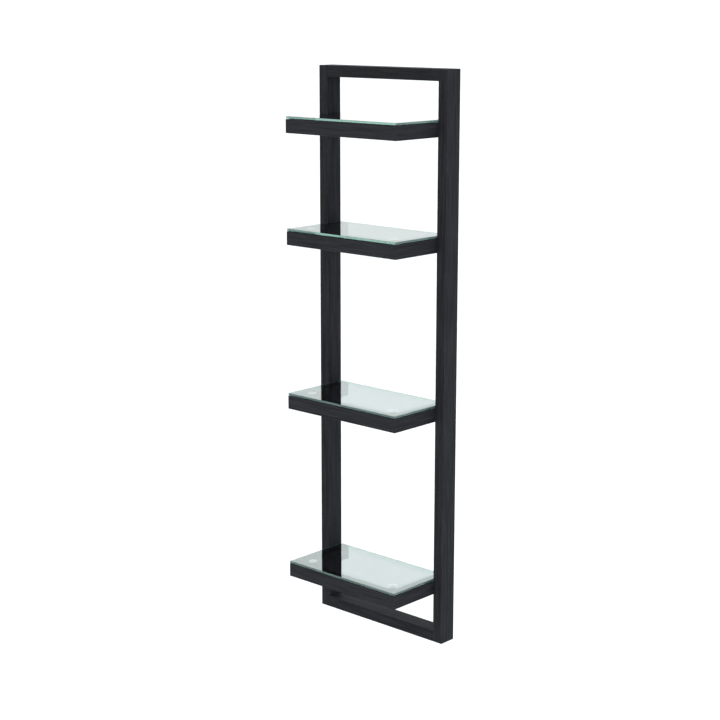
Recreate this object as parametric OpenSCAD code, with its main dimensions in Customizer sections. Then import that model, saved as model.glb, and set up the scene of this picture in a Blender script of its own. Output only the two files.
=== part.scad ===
// Open wall-hung shelf unit: a tall wooden frame, four trays that stand forward
// of it, and a loose glass plate on the pads of each tray.
// Origin: the middle of the bottom rail's back face. X runs to the right, Y runs back
// to the wall at y = 0, and Z runs up. Trays are counted from the top.

/* [Frame] */
// Overall width of the frame
frame_w = 440; // [360:1:700]
// Overall height of the frame
frame_h = 1500; // [1230:1:2000]
// Depth of the frame from the wall
frame_d = 50; // [40:1:80]
// Width of an upright seen from the front
upright_w = 30; // [26:1:45]
// Height of the top and bottom rails
rail_h = 30; // [26:1:60]
// Radius of the eased edges on the wood
edge_r = 1.5; // [0.5:0.1:3]

/* [Tray spacing] */
// Clear height over the glass of tray 1, up to the top rail
bay_1 = 94.5; // [40:0.5:200]
// Clear height over the glass of tray 2, up to tray 1
bay_2 = 246.5; // [60:0.5:300]
// Clear height over the glass of tray 4, up to tray 3
bay_4 = 426.5; // [60:0.5:500]
// Clear height under tray 4, down to the bottom rail
bay_foot = 102; // [10:1:200]

/* [Trays] */
// How far a tray stands forward of the frame
tray_reach = 156; // [110:1:260]
// Height of a tray's rail and arms
tray_h = 36; // [30:1:60]
// Thickness of a tray's rail and arms
tray_t = 28; // [24:1:40]
// Gap between the rear end of an arm and the wall
arm_back_gap = 1; // [0:0.5:4]
// Height of the round-ended block in a tray's front corners
block_h = 20; // [14:1:28]
// Wood left round a pad's stem in that block
block_wall = 4.5; // [3:0.5:12]

/* [Glass] */
// Thickness of a glass plate
glass_t = 6; // [4:0.5:10]
// Gap between the glass and each upright
glass_side_gap = 1; // [0.5:0.5:4]
// Gap between the glass and the wall
glass_back_gap = 2; // [1:0.5:6]
// Radius of the glass plate's upright corners
glass_corner_r = 2; // [1:0.5:8]
// Height that the pads hold the glass above the tray
pad_lift = 1.5; // [1:0.1:4]
// Diameter of a front pad
pad_d = 24; // [16:1:28]
// Distance of a front pad's centre from the inner faces of the tray's rail and arm
pad_offset = 17; // [8:1:24]
// Diameter of the stem under a front pad
pad_stem_d = 6; // [4:0.5:8]
// Length of the stem under a front pad
pad_stem_l = 9; // [6:1:12]
// Diameter of a rear button
button_d = 10; // [6:1:14]
// Distance of a rear button's centre from the wall
button_inset = 22; // [12:1:40]

/* [Dowels] */
// Diameter of the dowels in the frame's corners
frame_dowel_d = 10; // [6:1:12]
// Length of the dowels in the frame's corners
frame_dowel_l = 60; // [40:2:70]
// Length of a frame dowel that lies in the upright
frame_dowel_bite = 22; // [14:1:24]
// Spacing of the two dowels in a frame corner
frame_dowel_gap = 22; // [16:1:26]
// Diameter of the dowels across a tray's mitre
mitre_dowel_d = 6; // [4:1:8]
// Length of the dowels across a tray's mitre
mitre_dowel_l = 22; // [16:1:24]
// Spacing of the two dowels in a mitre
mitre_dowel_gap = 16; // [12:1:18]

/* [Tray bolts] */
// Diameter of the bolts that hold the arms to the uprights
bolt_d = 6; // [5:1:8]
// Diameter of a bolt's head
bolt_head_d = 12; // [10:1:15]
// Height of a bolt's head
bolt_head_h = 3; // [2.5:0.5:5]
// Width across the flats of the hexagon socket in a bolt's head
bolt_socket = 4; // [3:0.5:5]
// Spacing of the two bolts in an arm
bolt_gap = 24; // [18:1:28]
// Outer diameter of a threaded insert
insert_d = 10; // [9:0.5:12]
// Length of a threaded insert
insert_l = 15; // [10:1:18]

/* [Wall hangers] */
// Height of the upper hangers below the frame's top
hanger_top_drop = 70; // [50:1:200]
// Height of the lower hangers above the frame's foot
hanger_foot_rise = 70; // [50:1:200]
// Length of a hanger plate
hanger_l = 56; // [50:1:70]
// Width of a hanger plate
hanger_w = 18; // [16:1:22]
// Thickness of a hanger plate
hanger_t = 2; // [1.5:0.5:3]
// Diameter of the keyhole's round entry
keyhole_d = 10; // [9:0.5:11]
// Width of the keyhole's slot
keyhole_slot_w = 5; // [4:0.5:6]
// Rise of the keyhole's slot above its entry
keyhole_rise = 12; // [10:1:14]
// Depth of the pocket behind a hanger plate
pocket_depth = 10; // [6:1:16]
// Diameter of the hanger plates' screws
hanger_screw_d = 3.5; // [3:0.5:4]
// Length of the hanger plates' screws
hanger_screw_l = 18; // [12:1:22]

/* [Hidden] */
// Play around every dowel, stem, insert and screw in its hole
fit_gap = 0.1;
// How far a cutting shape runs past the face that it opens
over = 1;
// Play around a bolt's head in its recess
head_gap = 0.2;
// How far a bolt's head lies below the arm's inner face
head_recess = 2;
// How far a bolt stops short of its insert's far end
bolt_end_gap = 1;
// Radius of a hanger plate's corners
hanger_r = 3;
// Distance of a hanger plate's screw from the plate's end
hanger_screw_inset = 6;
// Room around the keyhole's entry in the pocket behind it
pocket_side_gap = 1;
TRAYS = [1:4];
SIDES = [-1, 1];
WOOD = [0.10, 0.10, 0.11];
BEECH = [0.78, 0.62, 0.42];
GREEN_GLASS = [0.78, 0.90, 0.87, 0.45];
CLEAR_SOFT = [0.90, 0.95, 0.93, 0.8];
ZINC = [0.66, 0.67, 0.69];
BLACK_STEEL = [0.14, 0.14, 0.15];
BRASS = [0.78, 0.63, 0.30];
$fn = 48;

inner_w = frame_w - 2 * upright_w;
stack_h = tray_h + pad_lift + glass_t;
tray_front_y = -(frame_d + tray_reach);
tray_side_x = inner_w / 2;

// Height of each tray's underside above the frame's foot. Bay 3 takes what is left.
tray_1_z = frame_h - rail_h - bay_1 - stack_h;
tray_2_z = tray_1_z - bay_2 - stack_h;
tray_4_z = rail_h + bay_foot;
tray_3_z = tray_4_z + stack_h + bay_4;
TRAY_Z = [0, tray_1_z, tray_2_z, tray_3_z, tray_4_z];

pad_x = tray_side_x - tray_t - pad_offset;
pad_y = tray_front_y + tray_t + pad_offset;
block_r = pad_stem_d / 2 + fit_gap + block_wall;
// Half the width of the neck that joins a block's round end to the tray's corner.
block_neck = block_r * 0.8;

bolt_hole_d = bolt_d + 2 * fit_gap;
bolt_sink = bolt_head_h + head_recess;
bolt_seat_x = tray_side_x - tray_t + bolt_sink;
bolt_reach = tray_t - bolt_sink + insert_l - bolt_end_gap;
bolt_mid_y = -frame_d / 2;
bolt_mid_z = tray_h / 2;

hanger_x = (frame_w - upright_w) / 2;
hanger_screw_gap = hanger_l - 2 * hanger_screw_inset;
hanger_head_d = 2 * hanger_screw_d;
// The entry lies below the plate's middle, so that entry and slot are centred on it.
keyhole_entry_z = -keyhole_rise / 2;
pocket_w = keyhole_d + 2 * pocket_side_gap;

tray_groups = ["tray_front", "tray_left_arm", "tray_right_arm", "corner_blocks", "mitre_dowels",
               "tray_bolts", "front_pads", "rear_buttons", "glass"];
frame_nodes = ["left_upright", "right_upright", "top_rail", "bottom_rail", "frame_dowels",
               "left_inserts", "right_inserts", "hanger_plates", "hanger_screws"];

// A flat shape w by h about the origin, with true round corners.
module eased_rect(w, h, r) {
    square([w, h - 2 * r], center = true);
    square([w - 2 * r, h], center = true);
    for (x = SIDES, y = SIDES)
        translate([x * (w / 2 - r), y * (h / 2 - r)]) circle(r);
}

// Bars of wood with eased long edges, centred on their section and running along one axis.
module bar_x(length, depth, height) {
    translate([-length / 2, 0, 0]) rotate([90, 0, 90])
        linear_extrude(length) eased_rect(depth, height, edge_r);
}

module bar_y(length, width, height) {
    rotate([90, 0, 0]) linear_extrude(length) eased_rect(width, height, edge_r);
}

// An upright bar whose end edges are eased as well, standing on z = 0.
module eased_post(length, width, depth) {
    intersection() {
        linear_extrude(length) eased_rect(width, depth, edge_r);
        translate([0, depth, length / 2]) rotate([90, 0, 0])
            linear_extrude(2 * depth) eased_rect(width, length, edge_r);
        translate([-width, 0, length / 2]) rotate([90, 0, 90])
            linear_extrude(2 * width) eased_rect(depth, length, edge_r);
    }
}

// A round pin or hole along +X from the origin.
module rod_x(d, length) {
    rotate([0, 90, 0]) cylinder(d = d, h = length);
}

// A dowel with bevelled ends along +X from the origin.
module dowel_x(d, length) {
    bevel = d / 6;
    rotate([0, 90, 0]) rotate_extrude()
        polygon([[0, 0], [d / 2 - bevel, 0], [d / 2, bevel], [d / 2, length - bevel],
                 [d / 2 - bevel, length], [0, length]]);
}

// Places its children at each dowel of one frame corner. side is -1 on the left.
module at_frame_dowels(side, rail_z) {
    for (step = SIDES)
        translate([side * (inner_w / 2 + frame_dowel_bite),
                   -frame_d / 2 + step * frame_dowel_gap / 2, rail_z])
            mirror([side > 0 ? 1 : 0, 0, 0]) children();
}

module frame_dowel_holes(side, rail_z) {
    at_frame_dowels(side, rail_z)
        translate([-fit_gap, 0, 0]) rod_x(frame_dowel_d + 2 * fit_gap, frame_dowel_l + 2 * fit_gap);
}

// Places its children at each bolt of one arm, at the arm's inner side, pointing outwards.
module at_bolts(side, x) {
    for (step = SIDES)
        translate([side * x, bolt_mid_y + step * bolt_gap / 2, bolt_mid_z])
            mirror([side < 0 ? 1 : 0, 0, 0]) children();
}

// ---- Frame ----

module hanger_recess() {
    translate([0, over, 0]) rotate([90, 0, 0])
        linear_extrude(hanger_t + over)
            eased_rect(hanger_w + 2 * fit_gap, hanger_l + 2 * fit_gap, hanger_r);
    rotate([90, 0, 0])
        linear_extrude(hanger_t + pocket_depth)
            eased_rect(pocket_w, keyhole_rise + pocket_w, pocket_w / 2 - fit_gap);
    for (step = SIDES)
        translate([0, 0, step * hanger_screw_gap / 2]) rotate([90, 0, 0])
            cylinder(d = hanger_screw_d + 2 * fit_gap, h = hanger_screw_l + over);
}

module upright(side) {
    color(WOOD) difference() {
        translate([side * (frame_w - upright_w) / 2, -frame_d / 2, 0])
            eased_post(frame_h, upright_w, frame_d);
        for (z = [rail_h / 2, frame_h - rail_h / 2]) frame_dowel_holes(side, z);
        for (n = TRAYS) translate([0, 0, TRAY_Z[n]])
            at_bolts(side, tray_side_x - over)
                rod_x(insert_d + 2 * fit_gap, insert_l + over + fit_gap);
        for (z = [hanger_foot_rise, frame_h - hanger_top_drop])
            translate([side * hanger_x, 0, z]) hanger_recess();
    }
}

module frame_rail(z) {
    color(WOOD) difference() {
        translate([0, -frame_d / 2, z]) bar_x(inner_w, frame_d, rail_h);
        for (side = SIDES) frame_dowel_holes(side, z);
    }
}

module frame_dowels() {
    color(BEECH) for (side = SIDES, z = [rail_h / 2, frame_h - rail_h / 2])
        at_frame_dowels(side, z) dowel_x(frame_dowel_d, frame_dowel_l);
}

module threaded_insert() {
    flange_t = 1.5;
    color(BRASS) difference() {
        rod_x(insert_d, insert_l);
        translate([-over, 0, 0]) rod_x(bolt_hole_d, insert_l + 2 * over);
        // A groove parts the insert's flange from its body.
        translate([flange_t, 0, 0]) difference() {
            rod_x(insert_d + over, flange_t / 2);
            translate([-over, 0, 0]) rod_x(insert_d - flange_t, flange_t + 2 * over);
        }
    }
}

module inserts(side) {
    for (n = TRAYS) translate([0, 0, TRAY_Z[n]])
        at_bolts(side, tray_side_x) threaded_insert();
}

// ---- Wall hangers ----

module hanger_plate() {
    color(ZINC) difference() {
        rotate([90, 0, 0]) linear_extrude(hanger_t) difference() {
            eased_rect(hanger_w, hanger_l, hanger_r);
            translate([0, keyhole_entry_z]) circle(d = keyhole_d);
            translate([-keyhole_slot_w / 2, keyhole_entry_z])
                square([keyhole_slot_w, keyhole_rise]);
            translate([0, keyhole_entry_z + keyhole_rise]) circle(d = keyhole_slot_w);
        }
        for (step = SIDES) translate([0, 0, step * hanger_screw_gap / 2]) {
            translate([0, over, 0]) rotate([90, 0, 0])
                cylinder(d = hanger_screw_d + 2 * fit_gap, h = hanger_t + 2 * over);
            rotate([90, 0, 0])
                cylinder(d1 = hanger_head_d + 2 * fit_gap, d2 = hanger_screw_d + 2 * fit_gap,
                         h = hanger_t);
        }
    }
}

module hanger_plates() {
    for (side = SIDES, z = [hanger_foot_rise, frame_h - hanger_top_drop])
        translate([side * hanger_x, 0, z]) hanger_plate();
}

// A countersunk wood screw whose head lies flush at the origin and whose point is at -Y.
module countersunk_screw(d, head_d, length, head_h) {
    point_l = 2 * d;
    cross_w = d / 5;
    cross_depth = head_h / 2;
    color(ZINC) rotate([90, 0, 0]) difference() {
        rotate_extrude()
            polygon([[0, 0], [head_d / 2, 0], [d / 2, head_h], [d / 2, length - point_l],
                     [0, length]]);
        for (turn = [0, 90]) rotate([0, 0, turn])
            translate([-d / 2, -cross_w / 2, -over]) cube([d, cross_w, cross_depth + over]);
    }
}

module hanger_screws() {
    for (side = SIDES, z = [hanger_foot_rise, frame_h - hanger_top_drop], step = SIDES)
        translate([side * hanger_x, 0, z + step * hanger_screw_gap / 2])
            countersunk_screw(hanger_screw_d, hanger_head_d, hanger_screw_l, hanger_t);
}

// ---- Trays: each is drawn with its underside at z = 0 ----

// Centre of the mitre at a tray's front corner.
module at_mitre(side) {
    translate([side * (tray_side_x - tray_t / 2), tray_front_y + tray_t / 2, 0])
        rotate([0, 0, side * -45]) children();
}

// Everything beyond the mitre, on the arm's side (towards +Y) or the front rail's side.
module mitre_cut(side, keep_front) {
    reach = 4 * tray_t;
    at_mitre(side)
        translate([-reach / 2, keep_front ? 0 : -reach, -over])
            cube([reach, reach, tray_h + 2 * over]);
}

// The tray's outline seen from above, with eased front corners.
module tray_outline() {
    tray_depth = -tray_front_y + over;
    translate([0, tray_front_y + tray_depth / 2, -over])
        linear_extrude(tray_h + 2 * over) eased_rect(inner_w, tray_depth, edge_r);
}

module at_mitre_dowels(side) {
    for (step = SIDES)
        at_mitre(side) translate([0, 0, tray_h / 2 + step * mitre_dowel_gap / 2])
            rotate([0, 0, 90]) children();
}

module mitre_dowel_holes(side) {
    hole_l = mitre_dowel_l + 2 * fit_gap;
    at_mitre_dowels(side)
        translate([-hole_l / 2, 0, 0]) rod_x(mitre_dowel_d + 2 * fit_gap, hole_l);
}

module tray_front() {
    color(WOOD) difference() {
        intersection() {
            translate([0, tray_front_y + tray_t / 2, tray_h / 2]) bar_x(inner_w, tray_t, tray_h);
            tray_outline();
        }
        for (side = SIDES) {
            mitre_cut(side, true);
            mitre_dowel_holes(side);
        }
    }
}

module tray_arm(side) {
    color(WOOD) difference() {
        intersection() {
            translate([side * (tray_side_x - tray_t / 2), -arm_back_gap, tray_h / 2])
                bar_y(-tray_front_y - arm_back_gap, tray_t, tray_h);
            tray_outline();
        }
        mitre_cut(side, false);
        mitre_dowel_holes(side);
        at_bolts(side, tray_side_x - tray_t - over) {
            rod_x(bolt_head_d + 2 * head_gap, bolt_sink + over);
            rod_x(bolt_hole_d, tray_t + 2 * over);
        }
    }
}

module corner_blocks() {
    corner_x = tray_side_x - tray_t;
    corner_y = tray_front_y + tray_t;
    foot = sqrt(2) * block_neck;
    half_step = block_neck / sqrt(2);
    color(WOOD) for (side = SIDES) mirror([side < 0 ? 1 : 0, 0, 0]) difference() {
        union() {
            translate([corner_x, corner_y, tray_h - block_h]) linear_extrude(block_h)
                polygon([[0, 0], [-foot, 0], [-pad_offset - half_step, pad_offset - half_step],
                         [-pad_offset + half_step, pad_offset + half_step], [0, foot]]);
            translate([pad_x, pad_y, tray_h - block_h]) cylinder(r = block_r, h = block_h);
        }
        translate([pad_x, pad_y, tray_h - pad_stem_l - 2 * fit_gap])
            cylinder(d = pad_stem_d + 2 * fit_gap, h = pad_stem_l + over);
    }
}

module mitre_dowels() {
    color(BEECH) for (side = SIDES)
        at_mitre_dowels(side)
            translate([-mitre_dowel_l / 2, 0, 0]) dowel_x(mitre_dowel_d, mitre_dowel_l);
}

// A hex-socket bolt along +X, with its head's underside at the origin.
module bolt() {
    edge = bolt_head_h / 3;
    socket_depth = bolt_head_h * 4 / 5;
    color(BLACK_STEEL) difference() {
        rotate([0, 90, 0]) rotate_extrude()
            polygon([[0, -bolt_head_h], [bolt_head_d / 2 - edge, -bolt_head_h],
                     [bolt_head_d / 2, -bolt_head_h + edge], [bolt_head_d / 2, 0],
                     [bolt_d / 2, 0], [bolt_d / 2, bolt_reach], [0, bolt_reach]]);
        translate([-bolt_head_h - over, 0, 0]) rotate([0, 90, 0])
            cylinder(d = bolt_socket / cos(30), h = socket_depth + over, $fn = 6);
    }
}

module tray_bolts() {
    for (side = SIDES) at_bolts(side, bolt_seat_x) bolt();
}

// A soft disc with a shallow dished rim and a stem that plugs into the corner block.
module front_pad() {
    rim = pad_lift / 2;
    color(CLEAR_SOFT) rotate_extrude()
        polygon([[0, -pad_stem_l], [pad_stem_d / 2 - rim, -pad_stem_l],
                 [pad_stem_d / 2, -pad_stem_l + rim], [pad_stem_d / 2, 0],
                 [pad_d / 2 - rim, 0], [pad_d / 2, rim], [pad_d / 2, pad_lift], [0, pad_lift]]);
}

module front_pads() {
    for (side = SIDES)
        translate([side * pad_x, pad_y, tray_h]) front_pad();
}

module rear_buttons() {
    color(CLEAR_SOFT) for (side = SIDES)
        translate([side * (tray_side_x - tray_t / 2), -button_inset, tray_h])
            cylinder(d1 = button_d, d2 = button_d - pad_lift, h = pad_lift);
}

module glass() {
    glass_w = inner_w - 2 * glass_side_gap;
    glass_depth = -tray_front_y - glass_back_gap;
    color(GREEN_GLASS)
        translate([0, tray_front_y + glass_depth / 2, tray_h + pad_lift])
            linear_extrude(glass_t) eased_rect(glass_w, glass_depth, glass_corner_r);
}

// The pieces are drawn from the frame's foot up; this brings the bottom rail to the origin.
module from_foot() {
    translate([0, 0, -rail_h / 2]) children();
}

from_foot() upright(-1);  // left_upright
from_foot() upright(1);  // right_upright
from_foot() frame_rail(frame_h - rail_h / 2);  // top_rail
from_foot() frame_rail(rail_h / 2);  // bottom_rail
from_foot() frame_dowels();
from_foot() inserts(-1);  // left_inserts
from_foot() inserts(1);  // right_inserts
from_foot() hanger_plates();
from_foot() hanger_screws();
for (n = TRAYS) from_foot() translate([0, 0, TRAY_Z[n]]) {
    tray_front();
    tray_arm(-1);
    tray_arm(1);
    corner_blocks();
    mitre_dowels();
    tray_bolts();
    front_pads();
    rear_buttons();
    glass();
}
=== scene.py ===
"""Looks for a wall-hung shelf unit: a black stained frame with four trays, and a
loose glass plate on soft pads over each tray."""
import math
import random

import bmesh
import bpy
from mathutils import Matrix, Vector


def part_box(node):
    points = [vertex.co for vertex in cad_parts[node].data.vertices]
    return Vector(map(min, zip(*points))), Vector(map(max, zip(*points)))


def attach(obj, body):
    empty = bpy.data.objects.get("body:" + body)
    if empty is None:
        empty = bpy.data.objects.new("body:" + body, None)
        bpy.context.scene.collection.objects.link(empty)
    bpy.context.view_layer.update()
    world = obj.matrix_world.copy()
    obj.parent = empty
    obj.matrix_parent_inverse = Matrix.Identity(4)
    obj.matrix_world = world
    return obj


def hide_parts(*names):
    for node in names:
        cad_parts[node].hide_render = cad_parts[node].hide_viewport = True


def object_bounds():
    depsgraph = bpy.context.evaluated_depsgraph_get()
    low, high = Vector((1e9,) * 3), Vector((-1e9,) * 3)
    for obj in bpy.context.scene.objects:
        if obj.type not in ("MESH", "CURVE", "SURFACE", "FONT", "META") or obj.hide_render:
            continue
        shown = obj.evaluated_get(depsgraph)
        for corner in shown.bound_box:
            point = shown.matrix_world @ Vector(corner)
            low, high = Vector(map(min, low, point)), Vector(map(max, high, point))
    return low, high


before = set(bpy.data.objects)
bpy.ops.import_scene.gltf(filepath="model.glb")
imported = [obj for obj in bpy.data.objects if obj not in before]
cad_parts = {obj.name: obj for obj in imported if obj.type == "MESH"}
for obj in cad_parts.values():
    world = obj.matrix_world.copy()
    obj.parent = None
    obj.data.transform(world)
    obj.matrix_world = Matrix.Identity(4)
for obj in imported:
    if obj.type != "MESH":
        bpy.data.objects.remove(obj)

cad_low, cad_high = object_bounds()

TRAYS = (1, 2, 3, 4)
MM = 0.001
X, Y, Z = 0, 1, 2

# The mitred faces of a tray meet where |x| + y has this value.
front_low, front_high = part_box("tray_front_1")
MITRE_SUM = front_high[X] + front_low[Y]

GLASS_IOR = 1.52
SILICONE_IOR = 1.41


# ---- Shader maths ----

# A Mix node's sockets when it mixes colours, by number, because their names repeat.
MIX_SHARE, MIX_FIRST, MIX_SECOND, MIX_COLOUR = 0, 6, 7, 2


class Socket:
    """One output of a shader node. An expression on it adds its Math nodes."""

    def __init__(self, tree, output):
        self.tree = tree
        self.output = output

    def maths(self, operation, *terms):
        return self.tree.node("ShaderNodeMath", {"operation": operation},
                              dict(enumerate(terms)))

    def __add__(self, other):
        return self.maths("ADD", self, other)

    def __sub__(self, other):
        return self.maths("SUBTRACT", self, other)

    def __rsub__(self, other):
        return self.maths("SUBTRACT", other, self)

    def __mul__(self, other):
        return self.maths("MULTIPLY", self, other)

    def __truediv__(self, other):
        return self.maths("DIVIDE", self, other)

    def __pow__(self, other):
        return self.maths("POWER", self, other)

    __radd__ = __add__
    __rmul__ = __mul__

    def least(self, other):
        return self.maths("MINIMUM", self, other)

    def most(self, other):
        return self.maths("MAXIMUM", self, other)

    def unsigned(self):
        return self.maths("ABSOLUTE", self)

    def remainder(self):
        return self.maths("FRACT", self)

    def ramp(self, start, end, low=0.0, high=1.0):
        """Goes smoothly from low at start to high at end."""
        return self.tree.node("ShaderNodeMapRange", {"interpolation_type": "SMOOTHSTEP"},
                              {"Value": self, "From Min": start, "From Max": end,
                               "To Min": low, "To Max": high})


class Tree:
    """The node tree of a finish or of the room's light."""

    def __init__(self, owner):
        owner.use_nodes = True
        self.tree = owner.node_tree
        self.tree.nodes.clear()

    def node(self, kind, settings=None, inputs=None, output=0):
        """Adds a node of this kind and returns one of its outputs. Its settings go in
        before the values or links of its sockets."""
        made = self.tree.nodes.new(kind)
        for key, value in (settings or {}).items():
            setattr(made, key, value)
        for key, value in (inputs or {}).items():
            if isinstance(value, Socket):
                self.tree.links.new(value.output, made.inputs[key])
            else:
                made.inputs[key].default_value = value
        return Socket(self, made.outputs[output]) if made.outputs else None

    def place(self):
        """The point on the piece, in metres."""
        return self.node("ShaderNodeTexCoord", output="Object")

    def parts(self, vector):
        """The X, Y and Z of a vector."""
        return [self.node("ShaderNodeSeparateXYZ", inputs={"Vector": vector}, output=axis)
                for axis in "XYZ"]

    def scaled(self, vector, scale, shift=(0, 0, 0)):
        """A vector stretched by scale along each axis, and then moved by shift."""
        larger = self.node("ShaderNodeVectorMath", {"operation": "MULTIPLY"},
                           {0: vector, 1: scale})
        return self.node("ShaderNodeVectorMath", {"operation": "ADD"}, {0: larger, 1: shift})

    def noise(self, vector, scale=1.0, detail=2.0, roughness=0.5):
        return self.node("ShaderNodeTexNoise", None,
                         {"Vector": vector, "Scale": scale, "Detail": detail,
                          "Roughness": roughness})

    def mix(self, share, first, second):
        """A colour that goes from first to second as share goes from 0 to 1."""
        colours = [value if isinstance(value, Socket) else (*value, 1.0)
                   for value in (first, second)]
        return self.node("ShaderNodeMix", {"data_type": "RGBA"},
                         {MIX_SHARE: share, MIX_FIRST: colours[0], MIX_SECOND: colours[1]},
                         output=MIX_COLOUR)

    def bump(self, height, strength=1.0):
        """Relief from a height in metres."""
        return self.node("ShaderNodeBump", None,
                         {"Height": height, "Distance": 1.0, "Strength": strength})


def finish(name, build):
    """Makes a material. build(tree) returns the inputs of its Principled shader."""
    made = bpy.data.materials.new(name)
    tree = Tree(made)
    shader = tree.node("ShaderNodeBsdfPrincipled", None, build(tree))
    tree.node("ShaderNodeOutputMaterial", None, {"Surface": shader})
    return made


# ---- Finishes ----

# Near-black stain, in the order that it goes on a piece of wood.
STAIN_DEEP, STAIN_THIN = (0.0172, 0.0172, 0.0188), (0.0412, 0.0416, 0.0464)
# The rubbed colour is partly stain worn through on the edges and partly a painted highlight
# along them.
RUBBED_STAIN_AND_EDGE_SHEEN = (0.070, 0.070, 0.075)
PORE_BLACK = (0.0050, 0.0050, 0.0054)
CUT_END_BLACK = (0.0100, 0.0100, 0.0108)
MITRE_BLACK = (0.0015, 0.0015, 0.0017)

# The width across the grain, and the length along it, of what marks the wood.
SWAY, RIPPLE = (0.05, 0.5), (0.007, 0.12)
FIBRE, PORE, STAIN = (0.0006, 0.02), (0.00042, 0.007), (0.006, 0.11)

RING_GAP = 0.0026           # from one growth ring to the next
RING_SWAY = 0.016           # how far the rings wander along a piece
RING_RIPPLE = 0.0014        # and how far they waver
PITH_REACH = (45, 95)       # millimetres from a piece's middle to its tree's pith
WOOD_SHEEN = 0.02           # flat lacquer, with next to no mirror in it

# Relief on the wood.
FIBRE_RISE, STAIN_RISE = 0.000016, 0.00012
PORE_DEPTH, EARLY_DEPTH, MITRE_DEPTH = 0.00009, 0.00002, 0.00018


def black_wood(name, grain, low, high, seed, free_ends=True, mitred=False, lift=0.0):
    """Open-grained wood stained black under flat lacquer, for one piece of the unit.
    grain is the axis that the fibres follow, and low and high are the piece's corners.
    free_ends gives the ends' edges the same wear and painted edge highlight too, mitred draws
    the line of a mitred corner, and lift makes the stain that much thinner."""
    draw = random.Random(seed)
    across = [axis for axis in (X, Y, Z) if axis != grain]
    middle = (low + high) / 2
    half = (high - low) / 2
    pith = [middle[axis] + draw.choice((-1, 1)) * draw.uniform(*PITH_REACH) * MM
            for axis in across]
    shift = tuple(draw.uniform(0, 20) for _ in range(3))

    def stretch(wide, long):
        """The scale of a pattern this wide across the grain and this long with it."""
        return tuple(1 / long if axis == grain else 1 / wide for axis in (X, Y, Z))

    def build(tree):
        place = tree.place()
        point = tree.parts(place)
        sway = tree.noise(tree.scaled(place, stretch(*SWAY), shift), detail=2)
        ripple = tree.noise(tree.scaled(place, stretch(*RIPPLE), shift), detail=3)
        offset = [point[axis] - centre for axis, centre in zip(across, pith)]
        radius = (offset[0] * offset[0] + offset[1] * offset[1]) ** 0.5
        wandering = radius + sway * RING_SWAY + ripple * RING_RIPPLE
        rings = (wandering / RING_GAP).remainder()
        early = rings.ramp(0.05, 0.55, 1, 0) * rings.ramp(0, 0.05)
        fibre = tree.noise(tree.scaled(place, stretch(*FIBRE), shift), detail=3, roughness=0.6)
        speck = tree.noise(tree.scaled(place, stretch(*PORE), shift), detail=1)
        pores = speck.ramp(0.56, 0.68) * (0.25 + 0.75 * early)
        stain = tree.noise(tree.scaled(place, stretch(*STAIN), shift), detail=4)

        normal = tree.parts(tree.node("ShaderNodeNewGeometry", output="Normal"))
        cut_end = normal[grain].unsigned().ramp(0.6, 0.9)

        # How far the point lies from the nearest edge of the piece.
        room = [half[axis] - (point[axis] - middle[axis]).unsigned() for axis in (X, Y, Z)]
        first, second = (room[axis] for axis in across)
        edge = first.most(second)
        if free_ends:
            edge = first.least(second).most(edge.least(room[grain]))
        nicks = tree.noise(place, 90.0, detail=4, roughness=0.65)
        # Edge mask: partly wear, partly a painted highlight along the arrises.
        wear_and_edge_sheen = (edge + nicks * 0.003).ramp(0.0012, 0.0034, 1, 0)

        tone = 0.42 + lift + 0.8 * stain + 0.22 * fibre - 0.16 * early
        dark = tree.mix(tone.ramp(0.60, 1.20), STAIN_DEEP, STAIN_THIN)
        # Edges lighter: partly rubbed stain, partly painted edge highlight.
        rubbed = tree.mix(wear_and_edge_sheen * 0.5, dark, RUBBED_STAIN_AND_EDGE_SHEEN)
        pored = tree.mix(pores * 0.75, rubbed, PORE_BLACK)
        colour = tree.mix(cut_end * 0.45, pored, CUT_END_BLACK)
        height = (fibre * FIBRE_RISE - pores * PORE_DEPTH - early * EARLY_DEPTH
                  + stain * STAIN_RISE)
        rough = 0.54 + 0.10 * stain + 0.16 * pores + 0.10 * cut_end - 0.06 * wear_and_edge_sheen
        if mitred:
            # The hairline where the two mitred faces meet.
            away = (point[X].unsigned() + point[Y] - MITRE_SUM).unsigned() * math.sqrt(0.5)
            line = away.ramp(0.00010, 0.00045, 1, 0)
            colour = tree.mix(line * 0.85, colour, MITRE_BLACK)
            height = height - line * MITRE_DEPTH
        return {"Base Color": colour, "Roughness": rough, "Specular IOR Level": WOOD_SHEEN,
                "Normal": tree.bump(height, 0.9)}

    return finish(name, build)


# The plates' deep grey transmission is partly the glass's own green tint and partly painted
# shade, for a shaded background seen through them.
GLASS_TINT_AND_SHADE, GLASS_FILMED_TINT_AND_SHADE = (0.268, 0.278, 0.290), (0.258, 0.268, 0.280)
GLASS_GREEN = (0.165, 0.245, 0.220)
GLASS_WETTED = (0.58, 0.62, 0.62)
GREEN_MARGIN = 0.05         # how far in from its edges a plate looks greener
EDGE_DEEP, EDGE_PALE = (0.30, 0.56, 0.47), (0.40, 0.68, 0.58)


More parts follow.
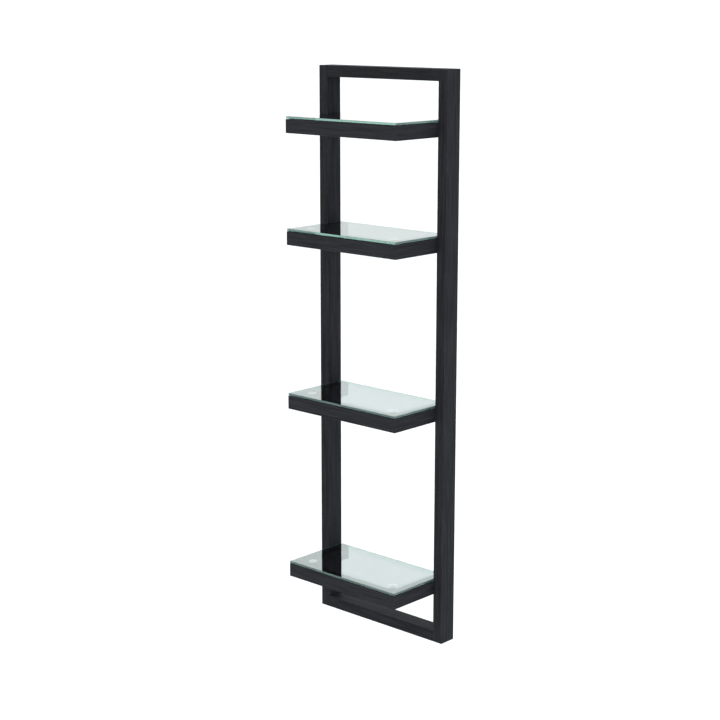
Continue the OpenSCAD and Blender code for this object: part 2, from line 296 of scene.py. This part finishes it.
def clear_glass(name, low, high, wetted):
    """Plate glass, greener towards its edges, with corners at low and high. wetted holds
    the centre and the radius of each spot where a soft pad sticks to the plate and lets
    more light through."""
    middle = (low + high) / 2
    half = (high - low) / 2

    def build(tree):
        place = tree.place()
        point = tree.parts(place)
        wiped = tree.noise(tree.scaled(place, (9, 26, 9)), detail=4, roughness=0.6)
        prints = tree.noise(place, 55.0, detail=3).ramp(0.56, 0.74)
        film = wiped.ramp(0.45, 0.75)
        # Painted shade: the tint is much darker than clear glass, so that what shows through
        # looks shaded.
        cast = tree.mix(film * 0.5, GLASS_TINT_AND_SHADE, GLASS_FILMED_TINT_AND_SHADE)
        room = [half[axis] - (point[axis] - middle[axis]).unsigned() for axis in (X, Y)]
        margin = room[X].least(room[Y]).ramp(0.0, GREEN_MARGIN, 1, 0)
        cast = tree.mix(margin * 0.8, cast, GLASS_GREEN)
        for centre, radius in wetted:
            away = [point[axis] - centre[axis] for axis in (X, Y)]
            reach = (away[X] * away[X] + away[Y] * away[Y]) ** 0.5
            spot = (reach / radius).ramp(0.98, 1.06, 1, 0)
            cast = tree.mix(spot, cast, GLASS_WETTED)
        return {"Base Color": cast, "Roughness": 0.002 + 0.012 * film + 0.010 * prints,
                "IOR": GLASS_IOR, "Transmission Weight": 1.0, "Specular IOR Level": 0.5}

    return finish(name, build)


def glass_edge(tree):
    """The ground edge of a plate, where its green shows."""
    place = tree.place()
    streaks = tree.noise(tree.scaled(place, (60, 60, 1400)), detail=3)
    cast = tree.mix(streaks, EDGE_DEEP, EDGE_PALE)
    return {"Base Color": cast, "Roughness": 0.10 + 0.12 * streaks, "IOR": GLASS_IOR,
            "Transmission Weight": 0.8, "Normal": tree.bump(streaks * 0.00001, 0.6)}


MILK_GREY, MILK_WHITE = (0.74, 0.79, 0.78), (0.84, 0.88, 0.87)
SILICONE_DUST = (0.56, 0.58, 0.57)
SILICONE_SCATTER = (0.003, 0.003, 0.003)


def silicone(clearness, milkiness):
    """Soft silicone rubber: clearness is its transmission and milkiness its scatter."""
    def build(tree):
        place = tree.place()
        cloud = tree.noise(place, 420.0, detail=3)
        dust = tree.noise(place, 2600.0, detail=2).ramp(0.62, 0.75)
        milk = tree.mix(cloud, MILK_GREY, MILK_WHITE)
        colour = tree.mix(dust * 0.2, milk, SILICONE_DUST)
        return {"Base Color": colour, "Roughness": 0.28 + 0.18 * cloud + 0.15 * dust,
                "IOR": SILICONE_IOR, "Transmission Weight": clearness,
                "Subsurface Weight": milkiness, "Subsurface Radius": SILICONE_SCATTER,
                "Subsurface Scale": 1.0, "Normal": tree.bump(cloud * 0.00003, 0.5)}

    return build


ZINC_BLUE, ZINC_DULL = (0.60, 0.62, 0.66), (0.50, 0.50, 0.47)
ZINC_BRUSHED = (0.42, 0.43, 0.45)
OXIDE_DEEP, OXIDE_PALE = (0.020, 0.020, 0.023), (0.042, 0.042, 0.048)
OXIDE_RUBBED = (0.11, 0.11, 0.12)
BRASS_BRIGHT, BRASS_TARNISHED = (0.72, 0.53, 0.24), (0.48, 0.33, 0.15)
BEECH_DEEP, BEECH_PALE = (0.52, 0.34, 0.19), (0.70, 0.51, 0.32)
BEECH_FLECK = (0.36, 0.21, 0.11)
FLOOR_DEEP, FLOOR_PALE = (0.95, 0.95, 0.95), (0.97, 0.97, 0.97)


def zinc_plate(tree):
    """Bright zinc over brushed steel, clouded in places."""
    place = tree.place()
    brushed = tree.noise(tree.scaled(place, (900, 900, 60)), detail=3)
    bloom = tree.noise(place, 130.0, detail=4, roughness=0.6)
    spangle = tree.node("ShaderNodeTexVoronoi", None, {"Vector": place, "Scale": 900.0},
                        output="Distance")
    clouded = tree.mix(bloom.ramp(0.35, 0.7), ZINC_BLUE, ZINC_DULL)
    colour = tree.mix(brushed * 0.4, clouded, ZINC_BRUSHED)
    return {"Base Color": colour, "Metallic": 1.0,
            "Roughness": 0.24 + 0.16 * brushed + 0.14 * bloom + 0.05 * spangle,
            "Normal": tree.bump(brushed * 0.000012 + spangle * 0.000006, 0.7)}


def black_oxide(tree):
    """Blackened steel, rubbed brighter in specks."""
    place = tree.place()
    bloom = tree.noise(place, 260.0, detail=4, roughness=0.6)
    rubbed = tree.noise(place, 900.0, detail=3).ramp(0.55, 0.7)
    colour = tree.mix(bloom, OXIDE_DEEP, OXIDE_PALE)
    return {"Base Color": tree.mix(rubbed * 0.4, colour, OXIDE_RUBBED), "Metallic": 0.85,
            "Roughness": 0.34 + 0.16 * bloom, "Normal": tree.bump(bloom * 0.00001, 0.6)}


def turned_brass(tree):
    """Brass with the marks of the lathe, going round the x axis, and a little tarnish."""
    place = tree.place()
    turning = tree.noise(tree.scaled(place, (5200, 120, 120)), detail=2)
    tarnish = tree.noise(place, 210.0, detail=4)
    colour = tree.mix(tarnish.ramp(0.4, 0.7), BRASS_BRIGHT, BRASS_TARNISHED)
    return {"Base Color": colour, "Metallic": 1.0, "Roughness": 0.24 + 0.22 * tarnish,
            "Normal": tree.bump(turning * 0.00001, 0.6)}


def plain_beech(tree):
    """Unstained beech with its grain along the x axis, and its short dark flecks."""
    place = tree.place()
    fibre = tree.noise(tree.scaled(place, (120, 1300, 1300)), detail=3)
    fleck = tree.noise(tree.scaled(place, (300, 2400, 2400)), detail=1).ramp(0.6, 0.7)
    colour = tree.mix(fibre, BEECH_DEEP, BEECH_PALE)
    return {"Base Color": tree.mix(fleck * 0.5, colour, BEECH_FLECK),
            "Roughness": 0.58 + 0.12 * fibre, "Normal": tree.bump(fibre * 0.00003, 0.7)}


def pale_floor(tree):
    """A matt near-white floor, very faintly clouded."""
    cloud = tree.noise(tree.place(), 0.6, detail=3)
    return {"Base Color": tree.mix(cloud, FLOOR_DEEP, FLOOR_PALE),
            "Roughness": 0.85, "Specular IOR Level": 0.1}


# ---- Wood ----

def dress(node, material):
    """Gives a frame node its finish."""
    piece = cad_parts[node]
    piece.data.materials.clear()
    piece.data.materials.append(material)


def dress_wood(node, grain, seed, **ways):
    """Gives a frame node a black wood of its own, cut from its own stretch of tree."""
    low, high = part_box(node)
    dress(node, black_wood(f"black_wood_{node}", grain, Vector(low), Vector(high), seed,
                           **ways))


dress_wood("left_upright", grain=Z, seed=11)
dress_wood("right_upright", grain=Z, seed=12)
dress_wood("top_rail", grain=X, seed=13, free_ends=False)
dress_wood("bottom_rail", grain=X, seed=14, free_ends=False)
for n in TRAYS:
    dress_wood(f"tray_front_{n}", grain=X, seed=20 + n, mitred=True, lift=0.07)
    dress_wood(f"tray_left_arm_{n}", grain=Y, seed=30 + n, mitred=True)
    dress_wood(f"tray_right_arm_{n}", grain=Y, seed=40 + n, mitred=True)
    dress_wood(f"corner_blocks_{n}", grain=X, seed=50 + n, free_ends=False)

# ---- Fixings ----

zinc = finish("zinc_plate", zinc_plate)
black_steel = finish("black_steel", black_oxide)
brass = finish("turned_brass", turned_brass)
beech = finish("plain_beech", plain_beech)
for node in ("hanger_plates", "hanger_screws"):
    dress(node, zinc)
for n in TRAYS:
    dress(f"tray_bolts_{n}", black_steel)
for node in ("left_inserts", "right_inserts"):
    dress(node, brass)
for node in ("frame_dowels", *(f"mitre_dowels_{n}" for n in TRAYS)):
    dress(node, beech)


# ---- Glass and pads ----

PLATE_CORNER = 2 * MM       # radius of a plate's corners
PLATE_ARRIS = 0.7 * MM      # the small bevel round a plate's faces
PAD_STEM = 3 * MM           # radius of a front pad's stem over its ribs
PAD_NECK = PAD_STEM * 0.88  # and between them
PAD_GAP = 0.03 * MM         # left under a plate, so that pad and plate don't share a face


def new_piece(name, mesh, body, slot, node, *materials):
    """Puts a finished mesh in the scene to stand for a frame node."""
    made = bpy.data.objects.new(name, bpy.data.meshes.new(name))
    mesh.normal_update()
    mesh.to_mesh(made.data)
    mesh.free()
    for material in materials:
        made.data.materials.append(material)
    bpy.context.collection.objects.link(made)
    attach(made, body)
    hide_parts(node)
    return made


def plate_outline(low, high, radius, inset, steps=8):
    """Points round a plate with rounded corners, counter-clockwise seen from above."""
    points = []
    turn = radius - inset
    for corner, (sx, sy) in enumerate(((1, 1), (-1, 1), (-1, -1), (1, -1))):
        centre_x = (high[X] - radius) if sx > 0 else (low[X] + radius)
        centre_y = (high[Y] - radius) if sy > 0 else (low[Y] + radius)
        for step in range(steps + 1):
            angle = (corner + step / steps) * math.pi / 2
            points.append((centre_x + turn * math.cos(angle),
                           centre_y + turn * math.sin(angle)))
    return points


def glass_plate(n, face, edge):
    """A plate with rounded corners and arrised edges."""
    low, high = (Vector(corner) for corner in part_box(f"glass_{n}"))
    mesh = bmesh.new()
    levels = [(low[Z], PLATE_ARRIS), (low[Z] + PLATE_ARRIS, 0),
              (high[Z] - PLATE_ARRIS, 0), (high[Z], PLATE_ARRIS)]
    rings = [[mesh.verts.new((x, y, z))
              for x, y in plate_outline(low, high, PLATE_CORNER, inset)]
             for z, inset in levels]
    count = len(rings[0])
    for below, above in zip(rings, rings[1:]):
        for i in range(count):
            j = (i + 1) % count
            mesh.faces.new((below[i], below[j], above[j], above[i])).material_index = 1
    mesh.faces.new(rings[0][::-1])
    mesh.faces.new(rings[-1])
    return new_piece(f"glass_plate_{n}_clear", mesh, f"glass_plate_{n}", "glass",
                     f"glass_{n}", face, edge)


def lathe(mesh, centre, profile, steps=64):
    """Turns a profile of (radius, height) points about an upright axis at centre."""
    rings = []
    for radius, height in profile:
        if radius == 0:
            rings.append([mesh.verts.new((centre[X], centre[Y], centre[Z] + height))])
        else:
            rings.append([mesh.verts.new((centre[X] + radius * math.cos(math.tau * i / steps),
                                          centre[Y] + radius * math.sin(math.tau * i / steps),
                                          centre[Z] + height)) for i in range(steps)])
    for below, above in zip(rings, rings[1:]):
        for i in range(steps):
            j = (i + 1) % steps
            loop = [below[i % len(below)], below[j % len(below)],
                    above[j % len(above)], above[i % len(above)]]
            face = mesh.faces.new(list(dict.fromkeys(loop)))
            face.smooth = True


def halves(node):
    """The boxes of a node's left and right twin."""
    points = [vertex.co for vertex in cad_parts[node].data.vertices]
    twins = []
    for side in (-1, 1):
        mine = [point for point in points if point[X] * side > 0]
        twins.append(tuple(Vector([end(point[axis] for point in mine) for axis in (X, Y, Z)])
                           for end in (min, max)))
    return twins


def front_pads(n, soft):
    """Discs with rolled rims and a shallow dish, on ribbed stems."""
    mesh = bmesh.new()
    tray_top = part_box(f"tray_front_{n}")[1][Z]
    for low, high in halves(f"front_pads_{n}"):
        disc_r = (high[X] - low[X]) / 2
        lift = high[Z] - tray_top - PAD_GAP
        stem_end = low[Z] - tray_top
        centre = Vector(((low[X] + high[X]) / 2, (low[Y] + high[Y]) / 2, tray_top))
        roll = lift / 2
        rim = [(disc_r - roll + roll * math.cos(a), roll + roll * math.sin(a))
               for a in (math.radians(d) for d in range(-90, 91, 15))]
        ribs = []
        for k in range(3):
            z = stem_end * (0.80 - 0.26 * k)
            ribs += [(PAD_NECK, z - 0.5 * MM), (PAD_STEM, z), (PAD_NECK, z + 0.5 * MM)]
        profile = [(0, stem_end), (PAD_STEM * 0.55, stem_end), *ribs, (PAD_NECK, 0), *rim,
                   (disc_r - 3.2 * MM, lift), (disc_r - 4.0 * MM, lift - 0.35 * MM),
                   (disc_r * 0.30, lift - 0.40 * MM), (0, lift - 0.42 * MM)]
        lathe(mesh, centre, profile)
    return new_piece(f"front_pads_{n}_soft", mesh, "unit", "clear_soft",
                     f"front_pads_{n}", soft)


def rear_buttons(n, soft):
    """Small domed stops stuck on the arms' rear ends."""
    mesh = bmesh.new()
    for low, high in halves(f"rear_buttons_{n}"):
        radius = (high[X] - low[X]) / 2
        lift = high[Z] - low[Z] - PAD_GAP
        centre = Vector(((low[X] + high[X]) / 2, (low[Y] + high[Y]) / 2, low[Z]))
        dome = [(radius * math.cos(a) ** 0.5, lift * math.sin(a) ** 0.75)
                for a in (math.radians(d) for d in range(0, 90, 9))]
        lathe(mesh, centre, [(0, 0), (radius * 0.97, 0), *dome[1:], (0, lift)])
    return new_piece(f"rear_buttons_{n}_soft", mesh, "unit", "clear_soft",
                     f"rear_buttons_{n}", soft)


green_edge = finish("glass_edge", glass_edge)
milky_pad = finish("milky_silicone", silicone(0.06, 0.25))
clear_button = finish("clear_silicone", silicone(0.85, 0.0))
for n in TRAYS:
    wetted = [((low + high) / 2, (high[X] - low[X]) / 2)
              for low, high in halves(f"front_pads_{n}")]
    plate_low, plate_high = (Vector(corner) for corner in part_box(f"glass_{n}"))
    face = clear_glass(f"clear_glass_{n}", plate_low, plate_high, wetted)
    glass_plate(n, face, green_edge)
    front_pads(n, milky_pad)
    rear_buttons(n, clear_button)


# ---- Studio ----

DOME_WARM, DOME_COOL = (1.0, 0.990, 0.985), (0.92, 0.950, 1.08)
WALL_GREEN = (0.915, 1.0, 0.985)
FLOOR_DROP = 0.9            # the unit hangs this far over the floor
FLOOR_REACH = 60.0


def studio_light():
    """A pale dome: dimmer in front of the unit and cooler to its right, with a bright wall
    of light behind the unit, a little green, and a bright line along the skyline there.
    The glass plates mirror the wall, and the topmost mirrors the line."""
    world = bpy.data.worlds.new("studio")
    bpy.context.scene.world = world
    tree = Tree(world)
    toward = tree.parts(tree.node("ShaderNodeTexCoord", output="Generated"))
    # How much of each light comes from this direction, from 0 to 1.
    behind = (toward[Y] * 0.75 - toward[X] * 0.66).ramp(-0.2, 0.85)
    glow = toward[Z].ramp(0.05, 0.46) * toward[Z].ramp(0.48, 0.85, 1.0, 0.25) * behind
    right = (toward[X] * 0.85 + toward[Y] * 0.5).ramp(-0.2, 0.8)
    front = toward[Y].ramp(-0.9, 0.2, 1.0, 0.0)
    skyline = toward[Z].unsigned().ramp(0.05, 0.12, 1, 0) * behind
    strength = 1.06 - 0.42 * front - 0.02 * right + glow * 1.84 + skyline * 0.40
    tint = tree.mix(right, DOME_WARM, DOME_COOL)
    tint = tree.mix(behind * toward[Z].ramp(0.08, 0.16), tint, WALL_GREEN)
    light = tree.node("ShaderNodeBackground", None, {"Color": tint, "Strength": strength})
    tree.node("ShaderNodeOutputWorld", None, {"Surface": light})


def soft_box(name, place, aim, size, power):
    """A wide lamp at place, turned to aim, that shiny pieces don't mirror."""
    lamp = bpy.data.lights.new(name, "AREA")
    lamp.shape = "RECTANGLE"
    lamp.size, lamp.size_y = size
    lamp.energy = power
    made = bpy.data.objects.new(name, lamp)
    made.location = place
    made.rotation_euler = (Vector(aim) - Vector(place)).to_track_quat("-Z", "Y").to_euler()
    made.visible_glossy = False
    bpy.context.collection.objects.link(made)


def floor(height, reach):
    """A pale square floor at this height, reaching this far each way."""
    mesh = bmesh.new()
    mesh.faces.new([mesh.verts.new((x * reach, y * reach, height))
                    for x, y in ((-1, -1), (1, -1), (1, 1), (-1, 1))])
    made = bpy.data.objects.new("pale_floor", bpy.data.meshes.new("pale_floor"))
    mesh.to_mesh(made.data)
    mesh.free()
    made.data.materials.append(finish("pale_floor", pale_floor))
    bpy.context.collection.objects.link(made)


studio_light()
soft_box("overhead", place=(0.6, -1.2, 4.5), aim=(0, 0, 0.7), size=(3.0, 3.0), power=12.0)
floor(cad_low[Z] - FLOOR_DROP, FLOOR_REACH)

# ---- Camera ----

CAMERA_STANDS = (2.797, -3.151, 1.637)
CAMERA_LOOKS_AT = Vector((0.010, -0.140, 0.739))
CAMERA_LENS, CAMERA_SENSOR = 80.94, 36.0

camera = bpy.data.cameras.new("camera")
camera.sensor_width = CAMERA_SENSOR
camera.lens = CAMERA_LENS
viewer = bpy.data.objects.new("camera", camera)
viewer.location = CAMERA_STANDS
line_of_sight = CAMERA_LOOKS_AT - viewer.location
viewer.rotation_euler = line_of_sight.to_track_quat("-Z", "Y").to_euler()
bpy.context.collection.objects.link(viewer)
bpy.context.scene.camera = viewer
bpy.context.scene.view_settings.view_transform = "Standard"
